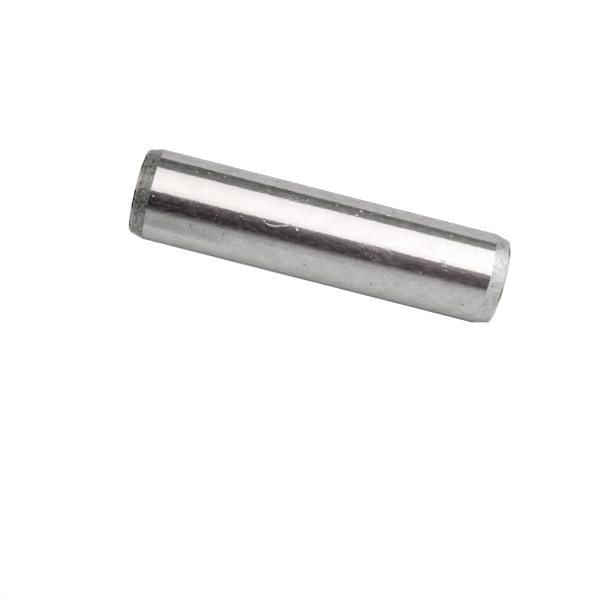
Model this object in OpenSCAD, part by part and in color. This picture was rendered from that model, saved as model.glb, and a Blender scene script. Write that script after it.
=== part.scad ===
// Parallel dowel pin of hardened steel: a ground cylinder with a lead-in cone, a rounded
// edge and a flat face at each end, so that it can be pressed in from either side.
// The pin stands on one end: its axis is Z, and its lower end face lies at z = 0.

/* [Pin] */
// Ground diameter, the same as the reamed hole that the pin locates in
pin_d = 10; // [6:0.5:20]
// Overall length, from end face to end face
pin_len = 40; // [16:1:100]

/* [Ends] */
// Length of the lead-in with its rounded edge, measured along the pin
lead_len = 1.7; // [0.8:0.1:3]
// Slope of the lead-in cone against the pin's axis, in degrees
lead_angle = 15; // [8:1:20]
// Radius of the edge between the lead-in cone and the end face
edge_r = 0.3; // [0.1:0.05:0.6]

/* [Hidden] */
$fn = 128;

pin_r = pin_d / 2;
// Radius at which the lead-in cone would meet the end face, were that edge sharp
sharp_r = pin_r - lead_len * tan(lead_angle);
// Radius of the flat end face. The round turns from face to cone through 90 - lead_angle
// degrees, so it starts this far short of the sharp edge.
face_r = sharp_r - edge_r * tan((90 - lead_angle) / 2);

// Turns a shape about the origin until its Y side runs along the lead-in cone
module along_lead() {
    rotate(-lead_angle)
        children();
}

// The quarter of the plane to the right of the origin and below it
module lower_right() {
    translate([0, -pin_r])
        square(pin_r);
}

// Half section of one end, from the end face to the middle of the pin, radius along X.
// The lead-in is cut from the stock with a tilted edge. A disc that touches both the end
// face and the cone then takes the place of the sharp corner between its two touch points.
module end_section() {
    difference() {
        square([pin_r, pin_len / 2]);
        translate([face_r, edge_r]) {
            along_lead()
                translate([edge_r, -pin_r])
                    square([pin_r, 2 * pin_r]);
            intersection() {
                lower_right();
                along_lead()
                    lower_right();
            }
        }
    }
    translate([face_r, edge_r])
        circle(r = edge_r);
}

module dowel_pin() {
    color("silver")
        rotate_extrude() {
            end_section();
            translate([0, pin_len])
                mirror([0, 1])
                    end_section();
        }
}

dowel_pin();
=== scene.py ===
# %% [markdown]
# # A dowel pin of hardened steel
#
# A dowel pin lines two parts up: it is pressed into a reamed hole in each of them. The whole pin is
# one turned and ground bar. Its body is ground round to a few thousandths of a millimetre, each end
# tapers so that the pin finds its hole, and the edge between taper and end face is rounded so that
# nothing scrapes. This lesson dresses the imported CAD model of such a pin. The model is loaded first
# and stays fixed, so every size below is measured on it or set against it.
#
# Blender works in metres here, so small sizes are written in millimetres times `MM`. The patterns on
# the steel get coordinates that are in millimetres already, so their sizes are plain numbers.

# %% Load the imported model
import math
import bmesh
import bpy
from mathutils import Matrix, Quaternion, Vector


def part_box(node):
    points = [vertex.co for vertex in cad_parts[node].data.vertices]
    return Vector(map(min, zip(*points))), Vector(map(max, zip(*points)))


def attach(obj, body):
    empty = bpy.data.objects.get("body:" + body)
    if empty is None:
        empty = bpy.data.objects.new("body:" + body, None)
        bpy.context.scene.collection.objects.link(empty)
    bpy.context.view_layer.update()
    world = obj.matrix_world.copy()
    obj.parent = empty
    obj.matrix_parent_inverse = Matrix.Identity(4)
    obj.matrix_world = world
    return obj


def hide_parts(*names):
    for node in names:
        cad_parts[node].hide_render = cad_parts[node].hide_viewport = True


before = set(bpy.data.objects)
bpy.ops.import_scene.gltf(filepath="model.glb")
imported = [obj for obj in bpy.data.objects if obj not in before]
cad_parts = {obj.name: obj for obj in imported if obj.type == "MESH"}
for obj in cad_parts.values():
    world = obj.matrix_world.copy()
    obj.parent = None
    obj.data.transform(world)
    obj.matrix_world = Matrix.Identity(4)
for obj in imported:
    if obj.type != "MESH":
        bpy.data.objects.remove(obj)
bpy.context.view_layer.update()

MM = 0.001

pin_low, pin_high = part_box("dowel_pin")
pin_radius = pin_high.x
pin_length = pin_high.z - pin_low.z
pin_middle = Vector((0, 0, pin_length / 2))
print(f"pin: {2 * pin_radius / MM:.3f} mm across, {pin_length / MM:.3f} mm long")

# %% [markdown]
# ## Small helpers
#
# Colours are written as on a paint chart, in sRGB hex, and one function turns them into the linear
# values that a renderer adds up. Node trees are long when they are written out, so another adds any
# node, sets its options and fills its inputs. An input takes a plain value, a socket of another node,
# or the other node itself, which then gives its first output in use.
#
# Two more are shorter still. One clears away the nodes that Blender puts into a new material or
# world. The other puts a new object in the scene, at the origin, unturned and unscaled, so that its
# shape and its place are both in its mesh.

# %% A function that turns a colour to linear
def linear(hex_colour):
    """'#RRGGBB' in sRGB as linear red, green, blue and an opaque alpha."""
    channels = [int(hex_colour[i:i + 2], 16) / 255 for i in (1, 3, 5)]
    return [c / 12.92 if c <= 0.04045 else ((c + 0.055) / 1.055) ** 2.4 for c in channels] + [1.0]


# %% A function that adds a node
def first_in_use(sockets, name=None):
    """The first socket in use, of the given name or number if there is one."""
    if isinstance(name, int):
        return sockets[name]
    return next(s for s in sockets if s.enabled and name in (None, s.name))


def add(tree, kind, inputs=None, stops=(), **settings):
    """Adds a node of that kind, sets its options, and fills its inputs by name or number.

    A colour ramp is given its stops too, from left to right, as (place, colour).
    """
    node = tree.nodes.new(kind)
    for option, value in settings.items():
        setattr(node, option, value)
    for number, (where, colour) in enumerate(stops):
        elements = node.color_ramp.elements
        if number == 0:
            elements.remove(elements[1])
        element = elements.new(where) if number else elements[0]
        element.position = where
        element.color = linear(colour)
    for name, value in (inputs or {}).items():
        socket = first_in_use(node.inputs, name)
        if isinstance(value, bpy.types.Node):
            value = first_in_use(value.outputs)
        if isinstance(value, bpy.types.NodeSocket):
            tree.links.new(value, socket)
        else:
            socket.default_value = value
    return node


# %% A function that empties a new node tree
def emptied(owner):
    """The node tree of a new material or world, with Blender's first nodes cleared away."""
    owner.use_nodes = True
    owner.node_tree.nodes.clear()
    return owner.node_tree


# %% A function that puts an object in the scene
def place(name, data):
    """A new object at the origin, unturned and unscaled."""
    thing = bpy.data.objects.new(name, data)
    bpy.context.scene.collection.objects.link(thing)
    return thing


# %% [markdown]
# ## The steel's surface, unrolled
#
# Marks on a round bar are easiest to think of on paper wrapped round it. `unrolled` gives that sheet:
# X is the distance round the pin in millimetres, zero at the front, and Y the height above the lower
# end face. Wiping, turning and handling draw a pattern out along the bar or round it, and on the
# sheet that is one noise with a different size each way. Cloudy patterns use plain object coordinates
# in millimetres instead, which have no seam. Both come from Object coordinates, so the pattern stays
# on the pin from every side. An image laid round the pin by a UV map would do the same, but it would
# blur close up.

# %% Coordinates for the steel's patterns
def millimetres(tree):
    """Object coordinates in millimetres."""
    spot = add(tree, "ShaderNodeTexCoord").outputs["Object"]
    return add(tree, "ShaderNodeVectorMath", {0: spot, "Scale": 1 / MM}, operation="SCALE")


def unrolled(tree, spot_mm):
    """The surface as a flat sheet: millimetres round the pin from its front, and height."""
    parts = add(tree, "ShaderNodeSeparateXYZ", {0: spot_mm})
    left = add(tree, "ShaderNodeMath", {0: parts.outputs["X"], 1: -1.0}, operation="MULTIPLY")
    front = add(tree, "ShaderNodeMath", {0: parts.outputs["Y"], 1: -1.0}, operation="MULTIPLY")
    turn = add(tree, "ShaderNodeMath", {0: left, 1: front}, operation="ARCTAN2")
    around = add(tree, "ShaderNodeMath", {0: turn, 1: pin_radius / MM}, operation="MULTIPLY")
    return add(tree, "ShaderNodeCombineXYZ", {"X": around, "Y": parts.outputs["Z"]})


def drawn_out(tree, sheet, around, along, detail, roughness=0.5, distortion=0.0):
    """A noise on the sheet with spots `around` mm wide round the pin and `along` mm high."""
    spot = add(tree, "ShaderNodeVectorMath", {0: sheet, 1: (1 / around, 1 / along, 0)},
               operation="MULTIPLY")
    return add(tree, "ShaderNodeTexNoise", {"Vector": spot, "Scale": 1.0, "Detail": detail,
                                            "Roughness": roughness, "Distortion": distortion},
               noise_dimensions="2D")


# %% [markdown]
# ## Scratches, nicks and patches
#
# Hardened steel that has rolled about in a box with others carries hair scratches and small nicks.
# There are hundreds, and three patterns are enough to draw most of them:
#
# - A field of hair scratches is the set of thin lines along which a stretched noise passes its middle
#   value. The stretch makes the lines long and straight. Real ones are a few thousandths of a
#   millimetre wide. They are drawn at 0.03 to 0.09 mm, or they wouldn't show.
# - Nicks are dots round the random points of a Voronoi pattern, and only some of the points get one.
# - Soft patches of a coarse noise say where a field of marks is thick and where there is none.

# %% Fields of marks
def hair_scratches(tree, sheet, turn, spacing, run, width, start):
    """1 on thin lines `spacing` mm apart and about `run` mm long, 0 beside them.

    They are turned from the sheet's Y by `turn` degrees. `start` picks a stretch of the noise.
    """
    turned = add(tree, "ShaderNodeVectorRotate", {"Vector": sheet, "Angle": math.radians(turn)},
                 rotation_type="Z_AXIS")
    moved = add(tree, "ShaderNodeVectorMath", {0: turned, 1: (start, start, 0)}, operation="ADD")
    field = drawn_out(tree, moved, spacing, run, detail=1.0)
    away = add(tree, "ShaderNodeMath", {0: field, 1: 0.5}, operation="SUBTRACT")
    distance = add(tree, "ShaderNodeMath", {0: away}, operation="ABSOLUTE")
    return add(tree, "ShaderNodeMapRange",
               {"Value": distance, "From Max": width / spacing, "To Min": 1.0, "To Max": 0.0},
               interpolation_type="SMOOTHSTEP")


def patches(tree, spot_mm, size, level, start, softness=0.12):
    """1 inside scattered soft patches about `size` mm wide; a higher level leaves fewer of them."""
    moved = add(tree, "ShaderNodeVectorMath", {0: spot_mm, 1: (start, 0, start)}, operation="ADD")
    field = add(tree, "ShaderNodeTexNoise", {"Vector": moved, "Scale": 1 / size, "Detail": 2.0})
    return add(tree, "ShaderNodeMapRange",
               {"Value": field, "From Min": level, "From Max": level + softness},
               interpolation_type="SMOOTHSTEP")


def nicks(tree, sheet, spacing, size, share, start, full=0.2, none=0.6):
    """1 in dots of about `size` mm, on that share of random points `spacing` mm apart.

    A dot fades from `full` to `none` of its size away from its point.
    """
    moved = add(tree, "ShaderNodeVectorMath", {0: sheet, 1: (start, start, 0)}, operation="ADD")
    points = add(tree, "ShaderNodeTexVoronoi", {"Vector": moved, "Scale": 1 / spacing},
                 voronoi_dimensions="2D")
    dot = add(tree, "ShaderNodeMapRange",
              {"Value": points.outputs["Distance"], "From Min": full * size / spacing,
               "From Max": none * size / spacing, "To Min": 1.0, "To Max": 0.0},
              interpolation_type="SMOOTHSTEP")
    chance = add(tree, "ShaderNodeSeparateColor", {"Color": points.outputs["Color"]})
    chosen = add(tree, "ShaderNodeMath", {0: chance.outputs["Red"], 1: 1 - share},
                 operation="GREATER_THAN")
    return add(tree, "ShaderNodeMath", {0: dot, 1: chosen}, operation="MULTIPLY")


# %% [markdown]
# The few larger marks have their own places, so each is drawn by one group node. It measures how far a
# point lies along the mark, from -1 to 1, and how far to its side, from -1 to 1 too, and the mark
# narrows to nothing at both ends. A bowed mark shifts sideways with the square of the way along it.
# The group gives two values: where the mark is, and how its lip rises from one side to the other,
# which tips the steel there like a tiny mirror towards another lamp.
#
# Each group node also takes the two values of the mark before it and adds its own. Such a chain
# needs little memory while the picture is made, where dozens of marks side by side need too much.

# %% A group that draws one mark
one_mark = bpy.data.node_groups.new("one mark", "ShaderNodeTree")
for input_name, kind in (("Sheet", "Vector"), ("Middle", "Vector"), ("Along", "Vector"),
                         ("Across", "Vector"), ("Bow", "Float"), ("Lip", "Float"),
                         ("Marks before", "Float"), ("Lips before", "Float")):
    one_mark.interface.new_socket(input_name, in_out="INPUT", socket_type="NodeSocket" + kind)
for output_name in ("Marks", "Lips"):
    one_mark.interface.new_socket(output_name, in_out="OUTPUT", socket_type="NodeSocketFloat")
given = add(one_mark, "NodeGroupInput").outputs
moved = add(one_mark, "ShaderNodeVectorMath", {0: given["Sheet"], 1: given["Middle"]},
            operation="SUBTRACT")
way = add(one_mark, "ShaderNodeVectorMath", {0: moved, 1: given["Along"]}, operation="DOT_PRODUCT")
side = add(one_mark, "ShaderNodeVectorMath", {0: moved, 1: given["Across"]}, operation="DOT_PRODUCT")
way_squared = add(one_mark, "ShaderNodeMath", {0: way.outputs["Value"], 1: way.outputs["Value"]},
                  operation="MULTIPLY")
off_line = add(one_mark, "ShaderNodeMath",
               {0: way_squared, 1: given["Bow"], 2: side.outputs["Value"]}, operation="MULTIPLY_ADD")
off_squared = add(one_mark, "ShaderNodeMath", {0: off_line, 1: off_line, 2: way_squared},
                  operation="MULTIPLY_ADD")
inside = add(one_mark, "ShaderNodeMapRange", {"Value": off_squared, "To Min": 1.0, "To Max": 0.0},
             interpolation_type="SMOOTHSTEP")
slope = add(one_mark, "ShaderNodeMath", {0: off_line, 1: given["Lip"]}, operation="MULTIPLY")
lips = add(one_mark, "ShaderNodeMath", {0: slope, 1: inside, 2: given["Lips before"]},
           operation="MULTIPLY_ADD")
marks = add(one_mark, "ShaderNodeMath", {0: inside, 1: given["Marks before"]}, operation="MAXIMUM")
add(one_mark, "NodeGroupOutput", {0: marks, 1: lips})
print(f"{one_mark.name}: {len(one_mark.nodes)} nodes")


# %% A function that draws a chain of marks
def draw_marks(tree, sheet, rows):
    """Draws marks of (around, height, turn in degrees, length, half width), in mm.

    A row may go on with its bow and its lip. Without them the mark is straight and has no lip.
    """
    before = {}
    for around, height, turn, length, half_width, *curve in rows:
        bow, lip = curve or (0.0, 0.0)
        sine, cosine = math.sin(math.radians(turn)), math.cos(math.radians(turn))
        mark = add(tree, "ShaderNodeGroup",
                   {"Sheet": sheet, "Middle": (around, height, 0),
                    "Along": (sine * 2 / length, cosine * 2 / length, 0),
                    "Across": (cosine / half_width, -sine / half_width, 0),
                    "Bow": bow / half_width, "Lip": lip, **before}, node_tree=one_mark)
        before = {"Marks before": mark.outputs["Marks"], "Lips before": mark.outputs["Lips"]}
    return mark.outputs["Marks"], mark.outputs["Lips"]


# %% [markdown]
# ## Tools for the steel's finishes
#
# In every finish of the pin several patterns add up to one value, for its colour, its roughness or
# its relief. One function writes such a sum as a chain of nodes. All four finishes are metal, so
# another ends each of them with a Principled shader that is metallic. A number that is the same all
# over the surface goes straight to the shader's own socket.

# %% Functions for the finishes
def weighted_sum(tree, start, *shares):
    """`start` plus each pattern times its share, from pairs of (pattern, share)."""
    total = start
    for pattern, share in shares:
        total = add(tree, "ShaderNodeMath", {0: pattern, 1: share, 2: total},
                    operation="MULTIPLY_ADD")
    return total


def finish_metal(material, inputs):
    """Ends a material with a metallic Principled shader that has those inputs."""
    tree = material.node_tree
    shader = add(tree, "ShaderNodeBsdfPrincipled", {"Metallic": 1.0, **inputs})
    add(tree, "ShaderNodeOutputMaterial", {"Surface": shader})
    print(f"{material.name}: {len(tree.nodes)} nodes")


# %% [markdown]
# ## Material: hardened steel, centreless ground
#
# The body is ground between two wheels, which leaves fine lines round the pin and a surface that
# mirrors a bright lamp as a clean band. The lines spread the reflection along the pin and not round
# it. They are far too fine to be drawn one by one, so Anisotropic gives their spread. Steel reflects
# about half of the light and is hardly coloured. A thin film from handling makes it cloudy by a few
# per cent: smudges of about two millimetres and fine streaks drawn out along the pin. One flank has been
# wiped: the film is thinner there, and thicker on the flank behind it, where the cloth left off.

# %% Ground steel: colour
ground_steel = bpy.data.materials.new("hardened steel, centreless ground")
tree = emptied(ground_steel)
spot_mm = millimetres(tree)
sheet = unrolled(tree, spot_mm)

# A flank is its middle, its half width to the full change and to none, and the change of the film.
flanks = [(-1.85, 1.2, 1.7, -0.7), (-7.60, 1.8, 2.8, 0.9)]
around = add(tree, "ShaderNodeVectorMath", {0: sheet, 1: (1, 0, 0)}, operation="DOT_PRODUCT")
film = 1.0
for middle, full, none, change in flanks:
    off_middle = add(tree, "ShaderNodeMath", {0: around.outputs["Value"], 1: middle},
                     operation="SUBTRACT")
    off_middle = add(tree, "ShaderNodeMath", {0: off_middle}, operation="ABSOLUTE")
    flank = add(tree, "ShaderNodeMapRange", {"Value": off_middle, "From Min": full,
                                             "From Max": none, "To Min": change, "To Max": 0.0})
    film = add(tree, "ShaderNodeMath", {0: film, 1: flank}, operation="ADD")

smudge_size = 1.8
smudge_share, streak_share = 0.9, 1.0
middle_tone = 0.5
smudges = add(tree, "ShaderNodeTexNoise", {"Vector": spot_mm, "Scale": 1 / smudge_size,
                                           "Detail": 3.0, "Roughness": 0.6})
streaks = drawn_out(tree, sheet, around=0.20, along=0.70, detail=3.0, roughness=0.65)
cloudy = weighted_sum(tree, -(smudge_share + streak_share) / 2, (smudges, smudge_share),
                      (streaks, streak_share))
tone = add(tree, "ShaderNodeMath", {0: cloudy, 1: film, 2: middle_tone}, operation="MULTIPLY_ADD")
colour = add(tree, "ShaderNodeValToRGB", {"Fac": tone}, stops=[(0.2, "#A8A7A4"), (0.8, "#C0BFBD")])
print(f"smudges of {smudge_size} mm, and {len(flanks)} flanks with more or less film")

# %% [markdown]
# ### Dried oil
#
# Pins are sold oiled against rust. The oil dries to a thin speckled film, which is clear but dull: it
# adds a little wide, white haze over the mirror, and hardly shows except where the steel mirrors
# something dark. That is a clear coat of high roughness whose weight follows a fine noise, drawn out
# along the pin by wiping. Dust in the film scatters light too, which a coat can't do. Its IOR of 2,
# above the 1.5 of oil, makes up for that.

# %% Ground steel: dried oil
oil_ior = 2.0
oil_roughness = 0.5
speckle = drawn_out(tree, sheet, around=0.32, along=1.10, detail=3.0, roughness=0.7)
oil = add(tree, "ShaderNodeMapRange", {"Value": speckle, "From Min": 0.40, "From Max": 0.62})
oil = add(tree, "ShaderNodeMath", {0: oil, 1: film}, operation="MULTIPLY")
print(f"oil film: IOR {oil_ior}, roughness {oil_roughness}")

# %% [markdown]
# ### Marks on the body
#
# Each row below is one mark: its place round the pin from the front and its height, its turn from the
# pin's axis in degrees, and its length and half width. A bright mark has two more values: how far it
# bows, and how high its lip is. Lips with a plus catch the light from the -X side of the mark, and
# lips with a minus from the +X side. Stains have no lip: most are dull specks where grime sits, and
# the last two are painted shade, dark lines beside the double scratch and the long scratch.

# %% Ground steel: marks
long_scratch = [(0.10, 24.92, 8, 2.3, 0.10, 0.28, 0.075), (-0.20, 23.86, 22, 1.6, 0.10, 0.04, 0.042)]
bright_nicks = [
    (-0.12, 26.05, 0, 0.24, 0.09, 0.0, 0.050), (-0.11, 22.54, -40, 0.36, 0.17, 0.0, 0.085),
    (0.34, 22.20, 0, 0.26, 0.09, 0.0, 0.014), (-0.03, 28.55, -20, 0.30, 0.06, 0.0, 0.010),
    (0.18, 28.15, -20, 0.25, 0.07, 0.0, 0.012), (0.20, 37.87, 0, 0.25, 0.09, 0.0, 0.040),
    (0.50, 31.00, 40, 0.40, 0.06, 0.1, 0.014), (1.25, 31.20, -50, 0.45, 0.06, 0.1, 0.014),
    (0.68, 33.35, 75, 0.35, 0.06, 0.0, 0.010), (1.10, 30.55, 0, 0.25, 0.06, 0.0, 0.010),
    (1.20, 32.80, 60, 0.30, 0.06, 0.0, 0.010), (-0.14, 34.75, 80, 0.35, 0.06, 0.0, 0.008),
    (-0.22, 34.00, 70, 0.40, 0.06, 0.0, 0.008), (0.62, 24.60, 20, 0.40, 0.05, 0.0, 0.007),
    (0.20, 6.40, -5, 0.45, 0.05, 0.0, 0.010), (1.04, 8.90, 12, 0.50, 0.05, 0.0, 0.012),
    (0.62, 14.90, -40, 0.45, 0.06, 0.0, 0.015), (0.75, 14.40, 30, 0.35, 0.06, 0.0, 0.015),
    (-3.33, 16.84, 50, 0.45, 0.13, 0.0, -0.050), (-4.10, 16.45, -20, 0.40, 0.16, 0.0, -0.080),
    (-4.60, 13.50, 0, 0.50, 0.30, 0.0, -0.160), (-4.02, 19.06, -70, 0.40, 0.13, 0.0, -0.060),
    (-3.72, 26.43, 60, 0.50, 0.08, 0.1, -0.018), (-3.62, 24.22, -40, 0.70, 0.12, 0.2, -0.014),
    (-3.60, 23.40, 30, 0.60, 0.12, -0.1, -0.012), (-3.72, 22.22, 60, 0.50, 0.10, 0.0, -0.022),
    (-4.05, 15.35, 0, 0.30, 0.09, 0.0, -0.020), (-4.02, 32.94, 0, 0.30, 0.08, 0.0, -0.025),
    (-3.72, 34.19, 0, 0.30, 0.08, 0.0, -0.018), (-4.02, 31.25, 0, 0.30, 0.08, 0.0, -0.022),
    (-3.75, 6.65, 20, 0.35, 0.08, 0.0, -0.020),
]
double_scratch = [(-0.46, 6.82, -6, 0.90, 0.08, 0.0, 0.060), (-0.22, 6.72, -5, 0.75, 0.06, 0.0, 0.030)]
lipped_marks = long_scratch + bright_nicks + double_scratch
mark_mask, mark_lips = draw_marks(tree, sheet, lipped_marks)

# Most rows are stains; the last two are painted shade lines beside the double and the long scratch.
stains_and_shade_lines = [
    (2.32, 33.45, -80, 0.42, 0.10), (2.32, 29.90, -45, 0.34, 0.11), (3.62, 20.85, 0, 0.50, 0.10),
    (3.90, 13.53, -70, 0.50, 0.10), (5.26, 12.32, 0, 0.55, 0.16), (3.55, 3.62, -10, 0.40, 0.11),
    (0.61, 18.30, -60, 0.30, 0.13), (0.58, 19.25, 5, 0.60, 0.09), (0.95, 2.20, -20, 0.45, 0.15),
    (0.25, 1.77, 88, 0.60, 0.09), (0.80, 1.77, 92, 0.45, 0.08), (-0.66, 6.92, -4, 0.80, 0.06),
    (0.02, 23.80, 20, 0.90, 0.05),
]
stain_and_shade_mask, _ = draw_marks(tree, sheet, stains_and_shade_lines)
print(f"{len(lipped_marks)} marks with a lip and {len(stains_and_shade_lines)} stains have their own places")

# %% [markdown]
# The rest of the marks are too many to place one by one, and nobody could tell if one had moved, so
# they are fields. One thick patch of slanting scratches is where the pin was rubbed against another,
# short squiggles lie in three stretches along it, and thin loose scratches and dots are scattered all
# round it.

# %% Ground steel: fields of scratches
squiggle_strength = 0.75
rub_lines = hair_scratches(tree, sheet, turn=-27, spacing=0.45, run=1.4, width=0.09, start=17.0)
rub_patch, _ = draw_marks(tree, sheet, [(0.42, 14.0, -22, 5.6, 1.0), (0.40, 12.3, -35, 3.6, 0.9)])
rub = add(tree, "ShaderNodeMath", {0: rub_lines, 1: rub_patch}, operation="MULTIPLY")
squiggles = hair_scratches(tree, sheet, turn=40, spacing=0.35, run=0.5, width=0.07, start=5.0)
squiggle_patch, _ = draw_marks(tree, sheet, [(-3.60, 23.9, 0, 6.5, 0.70), (-3.95, 32.0, 0, 6.0, 0.35),
                                             (0.30, 11.9, 0, 4.0, 0.70)])
squiggle_patch = add(tree, "ShaderNodeMath", {0: squiggle_patch, 1: squiggle_strength},
                     operation="MULTIPLY")
squiggled = add(tree, "ShaderNodeMath", {0: squiggles, 1: squiggle_patch}, operation="MULTIPLY")
hairs = add(tree, "ShaderNodeMath", {0: rub, 1: squiggled}, operation="MAXIMUM")
loose_lines = hair_scratches(tree, sheet, turn=35, spacing=0.9, run=3.0, width=0.03, start=3.0)
loose_patch = patches(tree, spot_mm, size=3.0, level=0.57, start=41.0)
loose = add(tree, "ShaderNodeMath", {0: loose_lines, 1: loose_patch}, operation="MULTIPLY")
dots = nicks(tree, sheet, spacing=0.9, size=0.12, share=0.15, start=9.0)
dots = add(tree, "ShaderNodeMath", {0: dots, 1: film}, operation="MULTIPLY")
print(f"{len(tree.nodes)} nodes so far")

# %% [markdown]
# The layers come together in the shader. A scratch is rougher than the steel round it. The relief is
# layered too: first the slow waves that grinding leaves, then its lines, then the dents. The lines are
# drawn about 0.1 mm apart, because real ones are far too fine to show. Depths are in millimetres.

# %% Ground steel: put the layers together
# The stain colour darkens real stains and also paints the shade lines beside two scratches.
stained_and_shaded = add(tree, "ShaderNodeMix", {0: stain_and_shade_mask, "A": colour, "B": linear("#75736F")},
              data_type="RGBA")
rough = add(tree, "ShaderNodeMapRange", {"Value": speckle, "From Min": 0.35, "From Max": 0.7,
                                         "To Min": 0.07, "To Max": 0.15})
rough = weighted_sum(tree, rough, (hairs, 0.16), (loose, 0.06), (dots, 0.10), (mark_mask, 0.15),
                     (stain_and_shade_mask, 0.15))

wave_size, wave_depth = 0.42, 0.005
lines_per_mm, line_length, line_depth = 9.0, 2.5, 0.0015
hair_depth, dot_depth = 0.0055, 0.007
mottle = add(tree, "ShaderNodeTexNoise", {"Vector": spot_mm, "Scale": 1 / wave_size, "Detail": 2.0})
lay_spot = add(tree, "ShaderNodeVectorMath",
               {0: spot_mm, 1: (1 / line_length, 1 / line_length, lines_per_mm)},
               operation="MULTIPLY")
grinding_lines = add(tree, "ShaderNodeTexNoise", {"Vector": lay_spot, "Scale": 1.0, "Detail": 2.0})
waves = add(tree, "ShaderNodeBump", {"Height": mottle, "Distance": wave_depth * MM})
lines = add(tree, "ShaderNodeBump", {"Height": grinding_lines, "Distance": line_depth * MM,
                                     "Normal": waves})
dents = weighted_sum(tree, mark_lips, (hairs, -hair_depth), (dots, -dot_depth))
relief = add(tree, "ShaderNodeBump", {"Height": dents, "Distance": MM, "Normal": lines})
finish_metal(ground_steel, {"Base Color": stained_and_shaded, "Roughness": rough, "Normal": relief,
                            "Anisotropic": 0.5, "Anisotropic Rotation": 0.25, "Coat Weight": oil,
                            "Coat Roughness": oil_roughness, "Coat IOR": oil_ior})

# %% [markdown]
# ## Material: the same steel, turned satin
#
# The lead-ins are turned and tumbled, and the grinding wheel never touches them. Their surface is
# satin, so they show only a soft blur of the lamps. Its grain is drawn out round the pin, the way the
# turning tool went, to spots of 0.4 by 0.2 mm, and there are small dark pits in it. Cutting the grain
# into the mesh would take millions of faces, and so shallow a grain shows as well by its tone and by
# a bump.
#
# The upper end has been handled more than the lower one. Grime has settled in its grain as dark
# flecks, most of them along the edge of the end face, and in a few smears. Fingers have rubbed one
# place even. Just below the round, the upper edge has spots of near white that are partly wear and
# partly a painted highlight line.

# %% Satin steel: grain
satin_steel = bpy.data.materials.new("hardened steel, turned and tumbled satin")
tree = emptied(satin_steel)
spot_mm = millimetres(tree)
sheet = unrolled(tree, spot_mm)

cloud_size = 1.2
grain = drawn_out(tree, sheet, around=0.42, along=0.20, detail=3.0, roughness=0.6)
cloud = add(tree, "ShaderNodeTexNoise", {"Vector": spot_mm, "Scale": 1 / cloud_size, "Detail": 2.0})
pits = nicks(tree, sheet, spacing=0.7, size=0.16, share=0.3, start=2.0)
tone = weighted_sum(tree, 0.0, (cloud, 0.4), (grain, 0.6), (pits, -0.30))
colour = add(tree, "ShaderNodeValToRGB", {"Fac": tone},
             stops=[(0.15, "#6E6C69"), (0.42, "#A9A8A6"), (0.64, "#C8C7C5")])
print(f"satin: clouds of {cloud_size} mm")


# %% Satin steel: grime
def rising(tree, spot_mm, low, high):
    """0 below one height and 1 above the other, in millimetres."""
    height = add(tree, "ShaderNodeSeparateXYZ", {0: spot_mm})
    return add(tree, "ShaderNodeMapRange", {"Value": height.outputs["Z"], "From Min": low,
                                            "From Max": high})


top = pin_length / MM
upper_heights = (12.0, 28.0)  # heights between which the handled upper part begins
upper = rising(tree, spot_mm, *upper_heights)
near_edge = rising(tree, spot_mm, top - 0.75, top - 0.35)
rubbed_even, _ = draw_marks(tree, sheet, [(-1.20, 39.0, 90, 3.4, 1.3)])
share = weighted_sum(tree, 0.03, (upper, 0.69), (near_edge, 0.4), (rubbed_even, -0.25))
share.use_clamp = True

flecks = drawn_out(tree, sheet, around=0.40, along=0.30, detail=2.0, roughness=0.7, distortion=1.0)
fleck_mask = add(tree, "ShaderNodeMapRange", {"Value": flecks, "From Min": 0.50, "From Max": 0.64})
grime = add(tree, "ShaderNodeMath", {0: fleck_mask, 1: share}, operation="MULTIPLY")
smears = [(-4.50, 0.95, 60, 0.70, 0.22), (0.31, 1.12, 5, 0.35, 0.08), (0.62, 1.21, 20, 0.35, 0.08),
          (-0.17, 39.28, 5, 0.45, 0.11), (1.10, 38.75, 60, 0.60, 0.12), (1.75, 39.10, 30, 0.70, 0.14),
          (-2.75, 39.50, 85, 0.70, 0.11), (3.90, 39.20, 0, 0.40, 0.10), (4.00, 38.75, 10, 0.55, 0.10),
          (-3.60, 38.95, 80, 0.60, 0.12)]
smeared, _ = draw_marks(tree, sheet, smears)
grime = weighted_sum(tree, grime, (rubbed_even, 0.13), (smeared, 0.6))
grime.use_clamp = True
grimy = add(tree, "ShaderNodeMix", {0: grime, "A": colour, "B": linear("#403E3A")}, data_type="RGBA")
print(f"grime: {len(smears)} smears, and flecks above {upper_heights[0]} mm")

# %% Satin steel: worn edge with a painted highlight, oil and relief
pit_depth, grain_depth = 0.5, 0.05
# Near-white spots just below the upper round: partly wear, partly a painted highlight line.
worn_and_highlight = add(tree, "ShaderNodeMapRange", {"Value": cloud, "From Min": 0.38, "From Max": 0.48})
at_edge = rising(tree, spot_mm, top - 0.36, top - 0.30)
worn_and_highlight = add(tree, "ShaderNodeMath", {0: worn_and_highlight, 1: at_edge}, operation="MULTIPLY")
worn_and_highlit_colour = add(tree, "ShaderNodeMix", {0: worn_and_highlight, "A": grimy, "B": linear("#E6E5E3")}, data_type="RGBA")
haze = add(tree, "ShaderNodeMapRange", {"Value": grain, "From Min": 0.3, "From Max": 0.7,
                                        "To Min": 0.28, "To Max": 0.42})
speckle = add(tree, "ShaderNodeTexNoise", {"Vector": spot_mm, "Scale": 1 / 0.30, "Detail": 2.0,
                                           "Roughness": 0.6})
oil = add(tree, "ShaderNodeMapRange", {"Value": speckle, "From Min": 0.44, "From Max": 0.60})
relief = add(tree, "ShaderNodeMath", {0: pits, 1: -pit_depth, 2: grain}, operation="MULTIPLY_ADD")
bumps = add(tree, "ShaderNodeBump", {"Height": relief, "Distance": grain_depth * MM})
finish_metal(satin_steel, {"Base Color": worn_and_highlit_colour, "Roughness": haze, "Normal": bumps,
                           "Coat Weight": oil, "Coat Roughness": oil_roughness, "Coat IOR": oil_ior})
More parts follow.
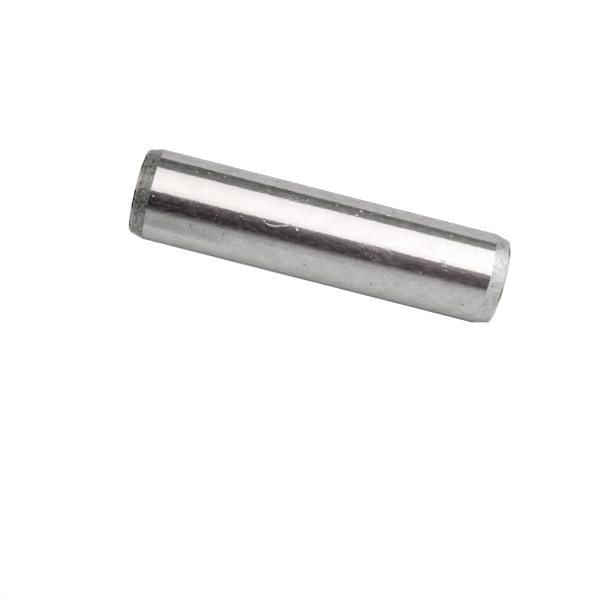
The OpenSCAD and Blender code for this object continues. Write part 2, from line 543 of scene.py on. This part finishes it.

# %% [markdown]
# ## Material: the rounded edge
#
# Where the pins knock together the round between taper and end face is struck first, and the chips
# hold grime. Grime is not a metal, so Metallic falls to 0 there, and it is as dull as soot, so it has
# no shine of its own. The upper edge is black nearly all round, which is partly grime and partly a
# painted dark reflection of the room above it, darkest in a few places and with one stretch knocked
# bare. Most of the lower edge is bare and bright, with a thin grey in places and two fine painted
# dark lines. The chips could be cut into the mesh, but they are only a few hundredths of a millimetre
# deep, so a bump is enough.

# %% Struck steel of the edges
struck_steel = bpy.data.materials.new("hardened steel, struck edge")
tree = emptied(struck_steel)
spot_mm = millimetres(tree)
sheet = unrolled(tree, spot_mm)

chip_size, chip_depth = 0.5, 0.03
dark_line_strength = 0.85
chips = add(tree, "ShaderNodeTexNoise", {"Vector": spot_mm, "Scale": 1 / chip_size, "Detail": 3.0,
                                         "Roughness": 0.7})
bared, _ = draw_marks(tree, sheet, [(-1.55, 0.15, 90, 2.4, 0.35), (-1.35, 39.80, 90, 2.0, 0.50)])
# Places where the upper edge is darkest: partly grime, partly painted dark reflection.
darkest_places, _ = draw_marks(tree, sheet, [(-4.55, 39.75, 90, 0.9, 0.45), (-3.85, 39.78, 90, 0.8, 0.42),
                                    (-3.00, 39.75, 90, 1.2, 0.50), (0.20, 39.75, 96, 1.2, 0.45),
                                    (1.50, 39.70, 80, 1.8, 0.50)])
upper = rising(tree, spot_mm, *upper_heights)
bareness = weighted_sum(tree, chips, (bared, 0.4), (darkest_places, -0.16), (upper, -0.11))
clean = add(tree, "ShaderNodeMapRange", {"Value": bareness, "From Min": 0.30, "From Max": 0.39})
# Towards the top the colour turns near black: partly grime, partly a painted dark reflection.
grime_and_dark_reflection_colour = add(tree, "ShaderNodeMix", {0: upper, "A": linear("#8E8B87"), "B": linear("#211F1D")},
                   data_type="RGBA")
colour = add(tree, "ShaderNodeMix", {0: clean, "A": grime_and_dark_reflection_colour, "B": linear("#BDBBB8")},
             data_type="RGBA")
# Two fine lines on the lower edge paint the dark reflection that the edge shows there.
painted_dark_lines, _ = draw_marks(tree, sheet, [(-4.00, 0.12, 90, 2.2, 0.26), (1.45, 0.12, 90, 2.6, 0.18)])
dark_line_share = add(tree, "ShaderNodeMath", {0: painted_dark_lines, 1: dark_line_strength}, operation="MULTIPLY")
with_dark_lines = add(tree, "ShaderNodeMix", {0: dark_line_share, "A": colour, "B": linear("#4A4846")}, data_type="RGBA")
bumps = add(tree, "ShaderNodeBump", {"Height": chips, "Distance": chip_depth * MM})
finish_metal(struck_steel, {"Base Color": with_dark_lines, "Metallic": clean, "Roughness": 0.35,
                            "Specular IOR Level": 0.0, "Normal": bumps})

# %% [markdown]
# ## Material: the end faces
#
# An end face is cut flat and then tumbled like the lead-ins. It is the face that others slide over in
# the box, so besides the satin grain it has many short straight scratches, most of them the same way.
# The face is flat and square to the pin's axis, so X and Y in space serve as its sheet.

# %% Scuffed steel of the end faces
faced_steel = bpy.data.materials.new("hardened steel, faced and scuffed")
tree = emptied(faced_steel)
spot_mm = millimetres(tree)

grain_size, cloud_size = 0.3, 2.5
scuff_depth, grain_depth = 0.8, 0.012
grain = add(tree, "ShaderNodeTexNoise", {"Vector": spot_mm, "Scale": 1 / grain_size, "Detail": 3.0,
                                         "Roughness": 0.6})
cloud = add(tree, "ShaderNodeTexNoise", {"Vector": spot_mm, "Scale": 1 / cloud_size, "Detail": 2.0})
scuff_lines = hair_scratches(tree, spot_mm, turn=57, spacing=0.5, run=1.6, width=0.05, start=8.0)
scuff_patches = patches(tree, spot_mm, size=1.6, level=0.45, start=23.0)
scuffs = add(tree, "ShaderNodeMath", {0: scuff_lines, 1: scuff_patches}, operation="MULTIPLY")
pits = nicks(tree, spot_mm, spacing=0.9, size=0.15, share=0.4, start=6.0)
tone = weighted_sum(tree, 0.0, (cloud, 0.5), (grain, 0.5), (scuffs, -0.25), (pits, -0.3))
colour = add(tree, "ShaderNodeValToRGB", {"Fac": tone},
             stops=[(0.12, "#75726E"), (0.42, "#C4C2BF"), (0.60, "#D2D0CD")])
relief = add(tree, "ShaderNodeMath", {0: scuffs, 1: -scuff_depth, 2: grain}, operation="MULTIPLY_ADD")
bumps = add(tree, "ShaderNodeBump", {"Height": relief, "Distance": grain_depth * MM})
finish_metal(faced_steel, {"Base Color": colour, "Roughness": 0.4, "Normal": bumps})

# %% [markdown]
# ## The pin itself, on a lathe of nodes
#
# A pin is turned, so it can be described by half of its outline swept round its axis. That could be
# done with Spin or a Screw modifier. Here Geometry Nodes do it, because the outline follows a rule:
# a lead-in of a given length and slope, and a round that touches both the lead-in and the end face.
# The tree works the touch points out from its inputs, as the CAD source does.
#
# Curve to Mesh lays the outline round a circle. Its X is then the distance outside that circle and
# its Y points down the axis, so a point at radius r and height z is drawn at (r - pin radius, -z).

# %% Sizes of the ends
lead_length = 1.7 * MM
lead_angle = math.radians(15)
edge_radius = 0.3 * MM
segments = 256
tolerance = 0.001 * MM

sharp_radius = pin_radius - lead_length * math.tan(lead_angle)
face_radius = sharp_radius - edge_radius * math.tan((math.pi / 2 - lead_angle) / 2)
top_corners = [v.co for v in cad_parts["dowel_pin"].data.vertices
               if v.co.z > pin_length - tolerance]
cad_face_radius = max(Vector(c.xy).length for c in top_corners)
print(f"end face: radius {face_radius / MM:.4f} mm, {cad_face_radius / MM:.4f} mm in the CAD model")

# %% The lathe's inputs and sums
lathe = bpy.data.node_groups.new("pin lathe", "GeometryNodeTree")
lathe.interface.new_socket("Pin", in_out="OUTPUT", socket_type="NodeSocketGeometry")
lathe_sizes = {
    "Diameter": 2 * pin_radius, "Length": pin_length, "Lead-in length": lead_length,
    "Lead-in slope": lead_angle, "Edge radius": edge_radius,
}
for size_name in lathe_sizes:
    lathe.interface.new_socket(size_name, in_out="INPUT", socket_type="NodeSocketFloat")
lathe.interface.new_socket("Segments", in_out="INPUT", socket_type="NodeSocketInt")
given = add(lathe, "NodeGroupInput").outputs

# The rim of the end face lies inside the ground radius by the lead-in's drop and the round's reach.
bar_radius = add(lathe, "ShaderNodeMath", {0: given["Diameter"], 1: 0.5}, operation="MULTIPLY")
slope = add(lathe, "ShaderNodeMath", {0: given["Lead-in slope"]}, operation="TANGENT")
drop = add(lathe, "ShaderNodeMath", {0: given["Lead-in length"], 1: slope}, operation="MULTIPLY")
arc_turn = add(lathe, "ShaderNodeMath", {0: math.pi / 2, 1: given["Lead-in slope"]},
               operation="SUBTRACT")
half_turn = add(lathe, "ShaderNodeMath", {0: arc_turn, 1: 0.5}, operation="MULTIPLY")
reach = add(lathe, "ShaderNodeMath", {0: half_turn}, operation="TANGENT")
short_of_edge = add(lathe, "ShaderNodeMath", {0: given["Edge radius"], 1: reach},
                    operation="MULTIPLY")
inset = add(lathe, "ShaderNodeMath", {0: drop, 1: short_of_edge}, operation="ADD")
face_x = add(lathe, "ShaderNodeMath", {0: inset, 1: -1.0}, operation="MULTIPLY")
axis_x = add(lathe, "ShaderNodeMath", {0: bar_radius, 1: -1.0}, operation="MULTIPLY")

# Y points down, so the upper end face is at minus the length.
top_y = add(lathe, "ShaderNodeMath", {0: given["Length"], 1: -1.0}, operation="MULTIPLY")
middle_y = add(lathe, "ShaderNodeMath", {0: top_y, 1: 0.5}, operation="MULTIPLY")
arc_y = add(lathe, "ShaderNodeMath", {0: top_y, 1: given["Edge radius"]}, operation="ADD")
shoulder_y = add(lathe, "ShaderNodeMath", {0: top_y, 1: given["Lead-in length"]}, operation="ADD")

# The round ends on the cone, where its tangent has the lead-in's slope.
slope_cosine = add(lathe, "ShaderNodeMath", {0: given["Lead-in slope"]}, operation="COSINE")
slope_sine = add(lathe, "ShaderNodeMath", {0: given["Lead-in slope"]}, operation="SINE")
cone_x = add(lathe, "ShaderNodeMath", {0: given["Edge radius"], 1: slope_cosine, 2: face_x},
             operation="MULTIPLY_ADD")
cone_rise = add(lathe, "ShaderNodeMath", {0: given["Edge radius"], 1: slope_sine},
                operation="MULTIPLY")
cone_y = add(lathe, "ShaderNodeMath", {0: arc_y, 1: cone_rise}, operation="SUBTRACT")
print(f"{lathe.name}: inputs {', '.join(lathe_sizes)} and Segments")

# %% The outline of one half, from the end face to mid-length
axis_point = add(lathe, "ShaderNodeCombineXYZ", {"X": axis_x, "Y": top_y})
face_point = add(lathe, "ShaderNodeCombineXYZ", {"X": face_x, "Y": top_y})
arc_centre = add(lathe, "ShaderNodeCombineXYZ", {"X": face_x, "Y": arc_y})
cone_point = add(lathe, "ShaderNodeCombineXYZ", {"X": cone_x, "Y": cone_y})
shoulder_point = add(lathe, "ShaderNodeCombineXYZ", {"Y": shoulder_y})
middle_point = add(lathe, "ShaderNodeCombineXYZ", {"Y": middle_y})

face_line = add(lathe, "GeometryNodeCurvePrimitiveLine", {"Start": axis_point, "End": face_point})
lead_line = add(lathe, "GeometryNodeCurvePrimitiveLine", {"Start": cone_point, "End": shoulder_point})
body_line = add(lathe, "GeometryNodeCurvePrimitiveLine", {"Start": shoulder_point, "End": middle_point})
edge_points = 14
edge_arc = add(lathe, "GeometryNodeCurveArc",
               {"Resolution": edge_points, "Radius": given["Edge radius"],
                "Start Angle": -math.pi / 2, "Sweep Angle": arc_turn})
edge_arc = add(lathe, "GeometryNodeTransform", {"Geometry": edge_arc, "Translation": arc_centre})
print(f"outline: three lines, and a round of {edge_points} points")

# %% Sweep the outline, mirror it and close the joins
ring = add(lathe, "GeometryNodeCurvePrimitiveCircle",
           {"Resolution": given["Segments"], "Radius": bar_radius})
half = add(lathe, "GeometryNodeJoinGeometry")
# Each line is cut into that many points, so that its faces aren't long slivers. The arc has its own.
for stretch, points in ((face_line, 18), (edge_arc, None), (lead_line, 5), (body_line, 16)):
    if points:
        stretch = add(lathe, "GeometryNodeResampleCurve", {"Curve": stretch, "Count": points})
    swept = add(lathe, "GeometryNodeCurveToMesh", {"Curve": ring, "Profile Curve": stretch})
    lathe.links.new(swept.outputs[0], half.inputs[0])

lift = add(lathe, "ShaderNodeCombineXYZ", {"Z": given["Length"]})
lower_half = add(lathe, "GeometryNodeTransform", {"Geometry": half, "Translation": lift,
                                                  "Scale": (1, 1, -1)})
lower_half = add(lathe, "GeometryNodeFlipFaces", {"Mesh": lower_half})
whole = add(lathe, "GeometryNodeJoinGeometry", {"Geometry": half})
lathe.links.new(lower_half.outputs[0], whole.inputs[0])
whole = add(lathe, "GeometryNodeMergeByDistance", {"Geometry": whole, "Distance": tolerance})
print(f"{lathe.name}: both halves meet at {pin_length / 2 / MM:.1f} mm")

# %% [markdown]
# The pin is smooth everywhere but at the shoulder, where the ground body meets the lead-in: there the
# surface turns through the lead-in's slope at once. Edges that turn more than 10 degrees stay sharp.
#
# The finishes follow the making of the pin, so each is chosen by its distance from mid-length: ground
# as far as the shoulder, then satin, then the struck round, then the end face.

# %% Shade the pin and give each stretch its finish
whole = add(lathe, "GeometryNodeSetShadeSmooth", {"Geometry": whole, "Shade Smooth": True})
crease_angle = math.radians(10)
edge_turn = add(lathe, "GeometryNodeInputMeshEdgeAngle")
creased = add(lathe, "FunctionNodeCompare", {0: edge_turn, 1: crease_angle},
              operation="GREATER_THAN")
whole = add(lathe, "GeometryNodeSetShadeSmooth",
            {"Geometry": whole, "Selection": creased, "Shade Smooth": False}, domain="EDGE")

here = add(lathe, "ShaderNodeSeparateXYZ", {0: add(lathe, "GeometryNodeInputPosition")})
from_middle = add(lathe, "ShaderNodeMath", {0: here.outputs["Z"], 1: middle_y}, operation="ADD")
from_middle = add(lathe, "ShaderNodeMath", {0: from_middle}, operation="ABSOLUTE")
half_length = add(lathe, "ShaderNodeMath", {0: middle_y, 1: -1.0}, operation="MULTIPLY")
below_top = add(lathe, "ShaderNodeMath", {0: half_length, 1: from_middle}, operation="SUBTRACT")
round_depth = add(lathe, "ShaderNodeMath", {0: cone_y, 1: top_y}, operation="SUBTRACT")

whole = add(lathe, "GeometryNodeRealizeInstances", {"Geometry": whole})
whole = add(lathe, "GeometryNodeSetMaterial", {"Geometry": whole, "Material": ground_steel})
finish_depths = ((satin_steel, given["Lead-in length"]), (struck_steel, round_depth),
                 (faced_steel, tolerance))
for finish, depth in finish_depths:
    nearer = add(lathe, "FunctionNodeCompare", {0: below_top, 1: depth}, operation="LESS_THAN")
    whole = add(lathe, "GeometryNodeSetMaterial", {"Geometry": whole, "Selection": nearer,
                                                   "Material": finish})
add(lathe, "NodeGroupOutput", {0: whole})
print(f"{lathe.name}: {len(lathe.nodes)} nodes")

# %% [markdown]
# ### From the lathe to a plain mesh
#
# A modifier needs an object to work on, so a blank with an empty mesh takes the lathe. Its inputs are
# set before it is first evaluated. What comes out is kept as a plain mesh, and the blank goes. Then
# the pin rides on the model's one body and stands for the CAD node, which stays out of sight as the
# solid for collisions.

# %% Run the lathe and keep its mesh
blank = place("blank", bpy.data.meshes.new("blank"))
turning = blank.modifiers.new("pin lathe", "NODES")
turning.node_group = lathe
for item in lathe.interface.items_tree:
    if item.in_out == "INPUT":
        turning[item.identifier] = segments if item.name == "Segments" else lathe_sizes[item.name]

evaluated = blank.evaluated_get(bpy.context.evaluated_depsgraph_get())
pin_mesh = bpy.data.meshes.new_from_object(evaluated)
bpy.data.objects.remove(blank)
if pin_mesh.materials[0] is None:  # Curve to Mesh starts with an empty slot
    pin_mesh.materials.pop(index=0)
pin = place("ground_pin", pin_mesh)
pin_mesh.name = "ground_pin"
print(f"{pin.name}: {len(pin_mesh.vertices)} points")

# %% Check that the mesh is closed and faces outward
shell = bmesh.new()
shell.from_mesh(pin_mesh)
bmesh.ops.recalc_face_normals(shell, faces=shell.faces)
open_edges = sum(not e.is_manifold for e in shell.edges)
volume = shell.calc_volume(signed=True) / MM ** 3
print(f"pin mesh: {len(shell.faces)} faces, {open_edges} open edges, {volume:.1f} mm3")
for number, finish in enumerate(pin_mesh.materials):
    print(f"  {sum(f.material_index == number for f in shell.faces)} faces of {finish.name}")
shell.to_mesh(pin_mesh)
shell.free()

# %% Let the pin stand for the CAD node
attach(pin, "root")
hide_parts("dowel_pin")
print(f"{pin.name} rides on root and stands for dowel_pin")

# %% [markdown]
# ## Floor
#
# The pin stands on its lower end on a plain pale floor that runs out of sight. The floor has a matt
# coat and keeps the pin's shadow. To the camera it also glows a little, so that it ends in white
# without brighter lamps on the pin. Reflections look past it to the lamps and cards, which stand all
# round the pin as they do in a light tent.

# %% Floor
floor_size = 4.0
glow_amount = 0.42

floor_mesh = bpy.data.meshes.new("floor")
corners = [(x * floor_size / 2, y * floor_size / 2, 0) for x, y in ((-1, -1), (1, -1), (1, 1), (-1, 1))]
floor_mesh.from_pydata(corners, [], [(0, 1, 2, 3)])
floor = place("floor", floor_mesh)

floor_paint = bpy.data.materials.new("matt white studio floor")
tree = emptied(floor_paint)
seen_by = add(tree, "ShaderNodeLightPath").outputs
coat = add(tree, "ShaderNodeBsdfDiffuse", {"Color": linear("#EFEFEE")})
to_camera = add(tree, "ShaderNodeMath", {0: seen_by["Is Camera Ray"], 1: glow_amount},
                operation="MULTIPLY")
glow = add(tree, "ShaderNodeEmission", {"Color": linear("#FFFFFF"), "Strength": to_camera})
both = add(tree, "ShaderNodeAddShader", {0: coat, 1: glow})
add(tree, "ShaderNodeOutputMaterial", {"Surface": both})
floor_mesh.materials.append(floor_paint)
floor.visible_glossy = False
print(f"floor: {floor_size} m square")

# %% [markdown]
# ## Light
#
# Polished metal has hardly a colour of its own: what it shows is the room. So the room is built like a
# product studio. Everything round the pin is white, softboxes are brighter than the rest, and dark
# cards beside them draw the edges of the bright bands. Each of them is a patch of a large ball round
# the pin, given by its directions seen from the pin: the azimuth from the camera's side, positive
# towards -X, and the height above the horizon. Colour ramps run across the patch, one for its lower
# part and one for its upper part. Where two of them overlap, the nearer one covers the other's edge.
#
# A flat card would work too, but a patch of a ball keeps its straight edges along the pin. Area lamps
# would work for the softboxes, but they have one colour each and no dark cards beside them.

# %% World: white all round
fill_strength = 0.85
white = linear("#FFFFFF")

world = bpy.data.worlds.new("light tent")
bpy.context.scene.world = world
tree = emptied(world)
seen_by = add(tree, "ShaderNodeLightPath").outputs
shown = add(tree, "ShaderNodeMath", {0: seen_by["Is Camera Ray"], 1: seen_by["Is Glossy Ray"]},
            operation="MAXIMUM")
shown = add(tree, "ShaderNodeMath", {0: shown, 1: seen_by["Is Transmission Ray"]},
            operation="MAXIMUM")
fill = add(tree, "ShaderNodeBackground", {"Color": white, "Strength": fill_strength})
backdrop = add(tree, "ShaderNodeBackground", {"Color": white, "Strength": 1.0})
mixed = add(tree, "ShaderNodeMixShader", {0: shown, 1: fill, 2: backdrop})
add(tree, "ShaderNodeOutputWorld", {"Surface": mixed})
print(f"{world.name}: white for the camera and mirrors, {fill_strength} of it on matt things")

# %% A patch of a ball round the pin
seen_low, seen_high = -12, 10
card_steps = 24


def ball_patch(name, distance, low, high, at_low, at_high):
    """A mesh on a ball round the pin's middle, from the height `low` to `high`, in degrees.

    The pin's lower end mirrors what is 12 degrees below the horizon, and its upper end what is 10
    degrees above. `at_low` and `at_high` give the first and last azimuth there. The UV map holds how
    far each corner lies across the patch, and how far from the lower of those heights to the upper.
    """
    vertices, corner_values = [], []
    for row in range(card_steps + 1):
        height = low + (high - low) * row / card_steps
        share = (height - seen_low) / (seen_high - seen_low)
        first, last = (at_low[side] + (at_high[side] - at_low[side]) * share
                       for side in ("first", "last"))
        level, up = math.cos(math.radians(height)), math.sin(math.radians(height))
        for column in range(card_steps + 1):
            across = column / card_steps
            azimuth = math.radians(first + (last - first) * across)
            ray = Vector((-math.sin(azimuth) * level, -math.cos(azimuth) * level, up))
            vertices.append(pin_middle + distance * ray)
            corner_values.append((across, min(1, max(0, share))))
    wide = card_steps + 1
    faces = [(r * wide + c, r * wide + c + 1, (r + 1) * wide + c + 1, (r + 1) * wide + c)
             for r in range(card_steps) for c in range(card_steps)]
    mesh = bpy.data.meshes.new(name)
    mesh.from_pydata(vertices, [], faces)
    layout = mesh.uv_layers.new(name="across and up")
    for loop in mesh.loops:
        layout.data[loop.index].uv = corner_values[loop.vertex_index]
    return mesh


# %% A function that hangs a card or softbox
def hang(name, distance, low, high, at_low, at_high=None):
    """A glowing patch of a ball that only mirrors see.

    `at_low` and `at_high` describe it where the pin's two ends mirror it: its first and last azimuth,
    its strength, and its colours as (place between the two azimuths, colour).
    """
    ends = (at_low, at_high or at_low)
    mesh = ball_patch(name, distance, low, high, *ends)
    paint = bpy.data.materials.new(name)
    tree = emptied(paint)
    spot = add(tree, "ShaderNodeSeparateXYZ", {0: add(tree, "ShaderNodeTexCoord").outputs["UV"]})
    ramps = [add(tree, "ShaderNodeValToRGB", {"Fac": spot.outputs["X"]}, stops=end["colours"])
             for end in ends]
    blend = add(tree, "ShaderNodeMix", {0: spot.outputs["Y"], "A": ramps[0], "B": ramps[1]},
                data_type="RGBA")
    strength = add(tree, "ShaderNodeMapRange", {"Value": spot.outputs["Y"],
                                                "To Min": ends[0]["strength"],
                                                "To Max": ends[1]["strength"]})
    light = add(tree, "ShaderNodeEmission", {"Color": blend, "Strength": strength})
    add(tree, "ShaderNodeOutputMaterial", {"Surface": light})
    mesh.materials.append(paint)

    card = place(name, mesh)
    card.visible_camera = False
    card.visible_diffuse = False
    card.visible_shadow = False
    print(f"{name}: {high - low} degrees high at {distance / MM:.0f} mm")


# %% Softbox: the bright band along the pin
box_low = [(0.0, "#F3F2F5"), (0.09, "#F5F4F7"), (0.2, "#F8F7FA"), (0.4, "#FCFBFF"),
           (0.80, "#FCFBFF"), (0.87, "#FAF7FA"), (0.92, "#F7F3F5"), (1.0, "#F2EEEF")]
box_high = [(0.0, "#E2E0E1"), (0.09, "#E4E1E3"), (0.2, "#EDEAEB"), (0.3, "#F4F1F2"),
            (0.46, "#FBF9FA"), (0.64, "#FFFDFD"), (0.78, "#FCF9F9"), (0.84, "#F3EFEF"),
            (1.0, "#EAE4E4")]
hang("softbox", distance=620 * MM, low=-22, high=17,
     at_low=dict(first=-82.0, last=-5.0, strength=2.26, colours=box_low),
     at_high=dict(first=-78.0, last=-4.0, strength=2.02, colours=box_high))

# %% Neutral card: the dark line above the band
neutral = [(0.0, "#B4B3B1"), (0.08, "#9C9B99"), (0.22, "#82817F"), (0.37, "#8E8D8B"),
           (0.59, "#A7A6A4"), (0.8, "#B6B5B3"), (1.0, "#BCBBB9")]
hang("neutral card", distance=560 * MM, low=-28, high=17,
     at_low=dict(first=-102.5, last=-75.2, strength=1.20, colours=neutral),
     at_high=dict(first=-106.5, last=-70.2, strength=0.64, colours=neutral))

# %% Brown card: the dark band below
brown_low = [(0.0, "#DAD0D2"), (0.07, "#C9BFC1"), (0.19, "#A39799"), (0.36, "#7B6F70"),
             (0.50, "#716667"), (0.585, "#756B6C"), (0.64, "#979092"), (0.69, "#BFBBBB"),
             (0.76, "#E2E0DF"), (0.86, "#F8F7F6"), (0.94, "#FDFCFB"), (1.0, "#FFFEFD")]
brown_high = [(0.0, "#B8AEB0"), (0.05, "#8A8082"), (0.12, "#5B5152"), (0.20, "#463D3E"),
              (0.28, "#302829"), (0.45, "#2D2626"), (0.57, "#2E2828"), (0.64, "#4F4B4B"),
              (0.70, "#7E7C7B"), (0.765, "#BAB8B7"), (0.83, "#CBCAC9"), (1.0, "#D3D3D2")]
hang("brown card", distance=560 * MM, low=-26, high=17,
     at_low=dict(first=-10.4, last=46.5, strength=1.0, colours=brown_low),
     at_high=dict(first=-8.3, last=61.0, strength=1.0, colours=brown_high))

# %% [markdown]
# Near its outline the pin mirrors what stands behind it. If that were all white, the outline would
# melt into the background, so a grey card and a cool one hang there, one for each side. Where they
# meet, a second softbox hangs before them and gives the back its own bright band. A dim card on the
# -X side takes the glare off the body near its upper end.

# %% Cards for the edges of the pin, and the softbox behind it
lower_edge = [(0.0, "#FFFFFF"), (0.20, "#F3F3F2"), (0.34, "#E0E0DF"), (0.44, "#D2D2D1"),
              (0.53, "#C4C4C4"), (0.60, "#A8A8A8"), (0.68, "#888888")]
grey_low = lower_edge + [(0.76, "#6E6E6E"), (0.88, "#6E6E6E"), (1.0, "#8C8C8C")]
grey_high = lower_edge + [(0.76, "#B4B4B4"), (0.88, "#FFFFFF")]
hang("grey card", distance=600 * MM, low=-30, high=17,
     at_low=dict(first=90.0, last=180.0, strength=1.0, colours=grey_low),
     at_high=dict(first=90.0, last=180.0, strength=1.0, colours=grey_high))
upper_edge = [(0.0, "#CBCACD"), (0.30, "#D6D4D8"), (0.52, "#DEDCE0"), (0.72, "#E8E6EA"),
              (0.90, "#F2F0F4"), (1.0, "#F6F5F8")]
hang("cool card", distance=600 * MM, low=-30, high=17,
     at_low=dict(first=-180.0, last=-109.0, strength=1.06, colours=upper_edge),
     at_high=dict(first=-180.0, last=-112.0, strength=0.99, colours=upper_edge))
rear = [(0.0, "#D8D8DC"), (0.2, "#FFFFFF"), (0.8, "#FFFFFF"), (1.0, "#A8A8AC")]
hang("rear softbox", distance=590 * MM, low=-30, high=17,
     at_low=dict(first=-184.0, last=-164.0, strength=2.2, colours=rear),
     at_high=dict(first=-193.0, last=-164.0, strength=2.2, colours=rear))
dim_low = [(0.0, "#F4F4F2")]
dim_high = [(0.0, "#BEBEBC"), (0.5, "#C2C2C0"), (0.75, "#D4D4D2"), (1.0, "#FAFAF9")]
hang("dim card", distance=640 * MM, low=4, high=17,
     at_low=dict(first=47.0, last=90.0, strength=1.0, colours=dim_low),
     at_high=dict(first=61.0, last=90.0, strength=1.0, colours=dim_high))

# %% [markdown]
# The lead-ins slope, so they mirror what hangs higher and lower than the body does: a dim ring under
# the ceiling darkens the upper one, and a cool lamp and a reflector near the floor light the lower one.

# %% Ring under the ceiling, low lamp and reflector
ring = [(0.0, "#B0B0AE"), (0.22, "#9C9C98"), (0.30, "#8C8B85"), (0.35, "#BCBAB2"),
        (0.40, "#FFFBF0"), (0.445, "#E0DCD0"), (0.49, "#706E6A"), (0.57, "#646360"),
        (0.63, "#2E2D2B"), (0.69, "#787773"), (0.75, "#C8C7C3"), (0.85, "#A8A8A5"),
        (1.0, "#9E9D9A")]
hang("ceiling ring", distance=580 * MM, low=17, high=66,
     at_low=dict(first=-150.0, last=150.0, strength=1.0, colours=ring))
low_lamp = [(0.0, "#E4E4EA"), (0.12, "#FFFFFF"), (0.3, "#F8F8FC"), (0.47, "#E6E6EA"),
            (1.0, "#EEEEF2")]
hang("low lamp", distance=620 * MM, low=-62, high=-22,
     at_low=dict(first=-90.0, last=-5.0, strength=2.02, colours=low_lamp))
reflector = [(0.0, "#FFFFFF"), (0.24, "#FDFDFD"), (0.36, "#F2F2F2"), (0.55, "#C8C8C7"),
             (0.75, "#C2C2C2"), (1.0, "#FFFFFF")]
hang("reflector", distance=580 * MM, low=-64, high=-22,
     at_low=dict(first=-12.0, last=135.0, strength=1.50, colours=reflector))

# %% [markdown]
# One wide, soft lamp hangs over the stage for everything matt. It gives the floor its contact shadow
# and isn't mirrored in the steel.

# %% Overhead lamp
lamp_height = 0.9
lamp_data = bpy.data.lights.new("overhead softbox", "AREA")
lamp_data.shape = "DISK"
lamp_data.size = 0.5
lamp_data.energy = 1.2
lamp = place("overhead softbox", lamp_data)
lamp.location = (0, 0, lamp_height)
lamp.visible_glossy = False
print(f"{lamp.name}: {lamp_data.size} m across, {lamp_height} m up, {lamp_data.energy:.1f} W")

# %% [markdown]
# ## Camera
#
# The camera looks across the pin and is rolled, so that the standing pin lies almost level in the
# picture with its upper end to the left. Laying the pin down would give the same picture, but the
# model stands. The view transform is Standard, so that colours come out about as they are written.

# %% Camera
camera_place = Vector((0.0, -140.0, 22.97)) * MM
camera_aim = Vector((-7.20, 0.0, 20.34)) * MM
camera_roll = math.radians(-75.8)

camera_data = bpy.data.cameras.new("camera")
camera_data.lens = 77.6
camera_data.sensor_width = 36
camera_data.clip_start = 5 * MM
camera_data.clip_end = 20.0
camera = place("camera", camera_data)
camera.location = camera_place
camera.rotation_mode = "QUATERNION"
facing = (camera_aim - camera_place).to_track_quat("-Z", "Y")
camera.rotation_quaternion = facing @ Quaternion((0, 0, 1), camera_roll)
bpy.context.scene.camera = camera
bpy.context.scene.view_settings.view_transform = "Standard"
print(f"camera: {camera_data.lens:.1f} mm lens, {-camera_place.y / MM:.0f} mm from the pin's axis")
